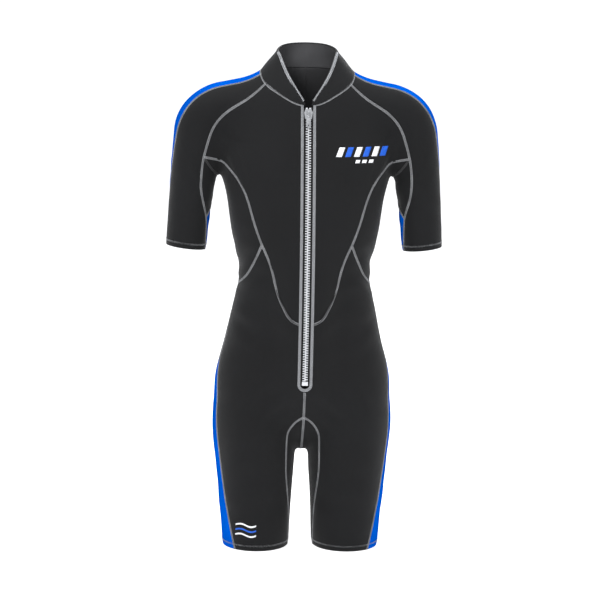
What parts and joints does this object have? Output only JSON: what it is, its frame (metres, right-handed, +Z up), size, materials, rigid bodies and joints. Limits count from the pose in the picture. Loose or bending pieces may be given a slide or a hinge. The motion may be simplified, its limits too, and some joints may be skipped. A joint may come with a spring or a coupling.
{
  "type": "shorty wetsuit",
  "caption": "Front-zip shorty wetsuit of black neoprene with blue shoulder and outer thigh panels, stand-up collar, short raglan sleeves and short legs, shown filled out as worn.",
  "frame": {"origin": "centre of the neck opening at the collar seam, where a hanger hook or a wearer's neck holds the suit", "axes": "+X the wearer's left, -Y the front with the zip, +Z up"},
  "size_m": [0.5412, 0.2385, 0.9896],
  "materials": {
    "neoprene_black": "nylon-faced 2 mm neoprene, matt with a fine knit",
    "neoprene_blue": "nylon-faced 2 mm neoprene in blue, matt with a fine knit",
    "neoprene_collar": "soft matt neoprene",
    "zip_tape": "woven tape",
    "zip_teeth": "moulded, silver grey",
    "slider_metal": "plated cast metal"
  },
  "bodies": {
    "suit": {"front_panel_left": "neoprene_black", "front_panel_right": "neoprene_black", "thigh_front_left": "neoprene_black", "thigh_front_right": "neoprene_black", "side_panel_left": "neoprene_black", "side_panel_right": "neoprene_black", "side_back_panel_left": "neoprene_black", "side_back_panel_right": "neoprene_black", "thigh_back_left": "neoprene_black", "thigh_back_right": "neoprene_black", "outer_thigh_left": "neoprene_blue", "outer_thigh_right": "neoprene_blue", "inner_thigh_left": "neoprene_black", "inner_thigh_right": "neoprene_black", "sleeve_front_left": "neoprene_black", "sleeve_front_right": "neoprene_black", "shoulder_panel_left": "neoprene_blue", "shoulder_panel_right": "neoprene_blue", "underarm_panel_left": "neoprene_black", "underarm_panel_right": "neoprene_black", "zipper_tape_left": "zip_tape", "zipper_tape_right": "zip_tape", "zipper_teeth_left": "zip_teeth", "zipper_teeth_right": "zip_teeth", "back_panel": "neoprene_black", "collar": "neoprene_collar", "zipper_bottom_stop": "zip_teeth", "zipper_top_stops": "zip_teeth"},
    "slider": {"slider_body": "slider_metal", "slider_bail": "slider_metal"},
    "pull_tab": {"pull_tab": "slider_metal"}
  },
  "joints": [
    {"name": "zip_run", "type": "hinge", "parent": "suit", "child": "slider", "pos_m": [0, 0.99355, -0.37684], "axis": [1, 0, 0], "range_deg": [0, 26.36], "deforming": ["zipper_teeth_left", "zipper_teeth_right"]},
    {"name": "tab_swing", "type": "hinge", "parent": "slider", "child": "pull_tab", "pos_m": [0, -0.07399, -0.06483], "axis": [-1, 0, 0], "range_deg": [0, 125]}
  ]
}
